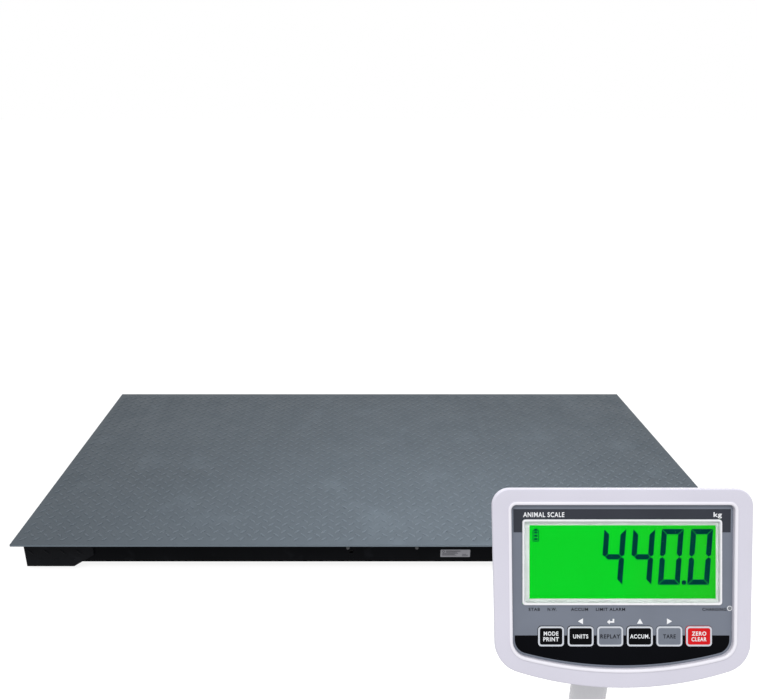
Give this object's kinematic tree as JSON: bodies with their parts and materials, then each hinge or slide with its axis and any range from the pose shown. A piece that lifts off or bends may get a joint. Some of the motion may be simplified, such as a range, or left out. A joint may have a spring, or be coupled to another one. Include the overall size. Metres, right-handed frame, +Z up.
{
  "type": "animal weighing scale",
  "caption": "Low tread-plate livestock weighing platform on four load cells with screw feet, and a tilting weighing terminal with display and keys on a floor column.",
  "frame": {"origin": "on the floor, at the middle of the footprint of the platform and its terminal stand together", "axes": "+Z up; the front of the set, with the terminal, faces -Y; +X is to the right as seen from the front"},
  "size_m": [2, 2.1464, 0.8911],
  "materials": {
    "deck_paint": "semi-gloss blue-grey paint over tread plate",
    "frame_paint": "semi-gloss black paint",
    "rib_paint": "satin black paint",
    "zinc": "zinc-plated steel",
    "cell_alloy": "nickel-plated",
    "pad_rubber": "matt moulded rubber",
    "cable_jacket": "matt jacket",
    "box_plastic": "light grey moulded plastic",
    "gland_plastic": "dark moulded nylon",
    "board": "green solder mask",
    "label_foil": "printed silver foil",
    "stand_paint": "light grey powder coat",
    "bracket_paint": "dark grey powder coat",
    "knob_plastic": "black moulded plastic",
    "housing_plastic": "pale lavender-grey moulded plastic",
    "seal_rubber": "matt rubber",
    "panel_film": "printed satin membrane",
    "bezel_plastic": "white moulded plastic",
    "window_clear": "clear acrylic",
    "lcd_green": "backlit green display",
    "key_black": "satin black keypad",
    "key_grey": "satin grey keypad",
    "key_red": "satin red keypad",
    "battery_case": "dark shrink wrap"
  },
  "bodies": {
    "platform": {"deck_plate": "deck_paint", "front_beam": "frame_paint", "rear_beam": "frame_paint", "left_beam": "frame_paint", "right_beam": "frame_paint", "cross_ribs": "rib_paint", "corner_cover_front_left": "frame_paint", "corner_cover_front_right": "frame_paint", "corner_cover_rear_left": "frame_paint", "corner_cover_rear_right": "frame_paint", "load_cell_front_left": "cell_alloy", "load_cell_front_right": "cell_alloy", "load_cell_rear_left": "cell_alloy", "load_cell_rear_right": "cell_alloy", "load_cell_seats": "rib_paint", "load_cell_bolts": "zinc", "foot_lock_nuts": "zinc", "junction_box": "box_plastic", "junction_lid": "box_plastic", "junction_board": "board", "junction_screws": "zinc", "junction_glands": "gland_plastic", "load_cell_cables": "cable_jacket", "cable_clips": "gland_plastic", "rating_plate": "label_foil", "front_screws": "zinc"},
    "stand": {"stand_base": "stand_paint", "stand_column": "stand_paint", "stand_feet": "pad_rubber", "stand_bolts": "zinc", "tilt_bracket": "bracket_paint"},
    "terminal": {"front_housing": "housing_plastic", "rear_housing": "housing_plastic", "housing_seal": "seal_rubber", "panel_overlay": "panel_film", "display_bezel": "bezel_plastic", "display_window": "window_clear", "lcd_panel": "lcd_green", "main_board": "board", "key_board": "board", "battery_pack": "battery_case", "housing_screws": "zinc", "terminal_glands": "gland_plastic"},
    "foot_front_left": {"foot_pad_front_left": "pad_rubber"},
    "stem_front_left": {"foot_stem_front_left": "zinc"},
    "foot_front_right": {"foot_pad_front_right": "pad_rubber"},
    "stem_front_right": {"foot_stem_front_right": "zinc"},
    "foot_rear_left": {"foot_pad_rear_left": "pad_rubber"},
    "stem_rear_left": {"foot_stem_rear_left": "zinc"},
    "foot_rear_right": {"foot_pad_rear_right": "pad_rubber"},
    "stem_rear_right": {"foot_stem_rear_right": "zinc"},
    "left_knob": {"left_knob": "knob_plastic"},
    "right_knob": {"right_knob": "knob_plastic"},
    "key_mode": {"key_mode": "key_black"},
    "key_units": {"key_units": "key_black"},
    "key_replay": {"key_replay": "key_grey"},
    "key_accumulate": {"key_accumulate": "key_black"},
    "key_tare": {"key_tare": "key_grey"},
    "key_zero": {"key_zero": "key_red"},
    "power_switch": {"power_switch": "gland_plastic"}
  },
  "joints": [
    {"name": "foot_level_front_left", "type": "slide", "parent": "platform", "child": "foot_front_left", "axis": [0, 0, -1], "range_m": [0, 0.012]},
    {"name": "stem_turn_front_left", "type": "hinge", "parent": "foot_front_left", "child": "stem_front_left", "pos_m": [-0.902, 0.17323, 0], "axis": [0, 0, -1], "range_deg": [0, 2480]},
    {"name": "foot_level_front_right", "type": "slide", "parent": "platform", "child": "foot_front_right", "axis": [0, 0, -1], "range_m": [0, 0.012]},
    {"name": "stem_turn_front_right", "type": "hinge", "parent": "foot_front_right", "child": "stem_front_right", "pos_m": [0.902, 0.17323, 0], "axis": [0, 0, -1], "range_deg": [0, 2480]},
    {"name": "foot_level_rear_left", "type": "slide", "parent": "platform", "child": "foot_rear_left", "axis": [0, 0, -1], "range_m": [0, 0.012]},
    {"name": "stem_turn_rear_left", "type": "hinge", "parent": "foot_rear_left", "child": "stem_rear_left", "pos_m": [-0.902, 0.97323, 0], "axis": [0, 0, -1], "range_deg": [0, 2480]},
    {"name": "foot_level_rear_right", "type": "slide", "parent": "platform", "child": "foot_rear_right", "axis": [0, 0, -1], "range_m": [0, 0.012]},
    {"name": "stem_turn_rear_right", "type": "hinge", "parent": "foot_rear_right", "child": "stem_rear_right", "pos_m": [0.902, 0.97323, 0], "axis": [0, 0, -1], "range_deg": [0, 2480]},
    {"name": "stand_lift", "type": "slide", "parent": "platform", "child": "stand", "axis": [0, 0, 1], "range_m": [0, 0.3]},
    {"name": "terminal_tilt", "type": "hinge", "parent": "stand", "child": "terminal", "pos_m": [0.186, -0.92323, 0.78576], "axis": [1, 0, 0], "range_deg": [-40, 20]},
    {"name": "left_knob_turn", "type": "hinge", "parent": "terminal", "child": "left_knob", "pos_m": [0.086, -0.92323, 0.78576], "axis": [-1, 0, 0], "range_deg": [0, 360]},
    {"name": "right_knob_turn", "type": "hinge", "parent": "terminal", "child": "right_knob", "pos_m": [0.286, -0.92323, 0.78576], "axis": [1, 0, 0], "range_deg": [0, 360]},
    {"name": "key_mode_press", "type": "slide", "parent": "terminal", "child": "key_mode", "axis": [0, 0.9373, -0.3486], "range_m": [0, 0.0007], "stiffness_N_per_m": 600, "springref_m": -0.0006},
    {"name": "key_units_press", "type": "slide", "parent": "terminal", "child": "key_units", "axis": [0, 0.9373, -0.3486], "range_m": [0, 0.0007], "stiffness_N_per_m": 600, "springref_m": -0.0006},
    {"name": "key_replay_press", "type": "slide", "parent": "terminal", "child": "key_replay", "axis": [0, 0.9373, -0.3486], "range_m": [0, 0.0007], "stiffness_N_per_m": 600, "springref_m": -0.0006},
    {"name": "key_accumulate_press", "type": "slide", "parent": "terminal", "child": "key_accumulate", "axis": [0, 0.9373, -0.3486], "range_m": [0, 0.0007], "stiffness_N_per_m": 600, "springref_m": -0.0006},
    {"name": "key_tare_press", "type": "slide", "parent": "terminal", "child": "key_tare", "axis": [0, 0.9373, -0.3486], "range_m": [0, 0.0007], "stiffness_N_per_m": 600, "springref_m": -0.0006},
    {"name": "key_zero_press", "type": "slide", "parent": "terminal", "child": "key_zero", "axis": [0, 0.9373, -0.3486], "range_m": [0, 0.0007], "stiffness_N_per_m": 600, "springref_m": -0.0006},
    {"name": "power_rock", "type": "hinge", "parent": "terminal", "child": "power_switch", "pos_m": [0.246, -0.89858, 0.80327], "axis": [-1, 0, 0], "range_deg": [0, 20]}
  ],
  "couplings": [
    {"joint": "stem_turn_front_left", "follows": "foot_level_front_left", "rad_per_m": 3590.4},
    {"joint": "stem_turn_front_right", "follows": "foot_level_front_right", "rad_per_m": 3590.4},
    {"joint": "stem_turn_rear_left", "follows": "foot_level_rear_left", "rad_per_m": 3590.4},
    {"joint": "stem_turn_rear_right", "follows": "foot_level_rear_right", "rad_per_m": 3590.4}
  ]
}
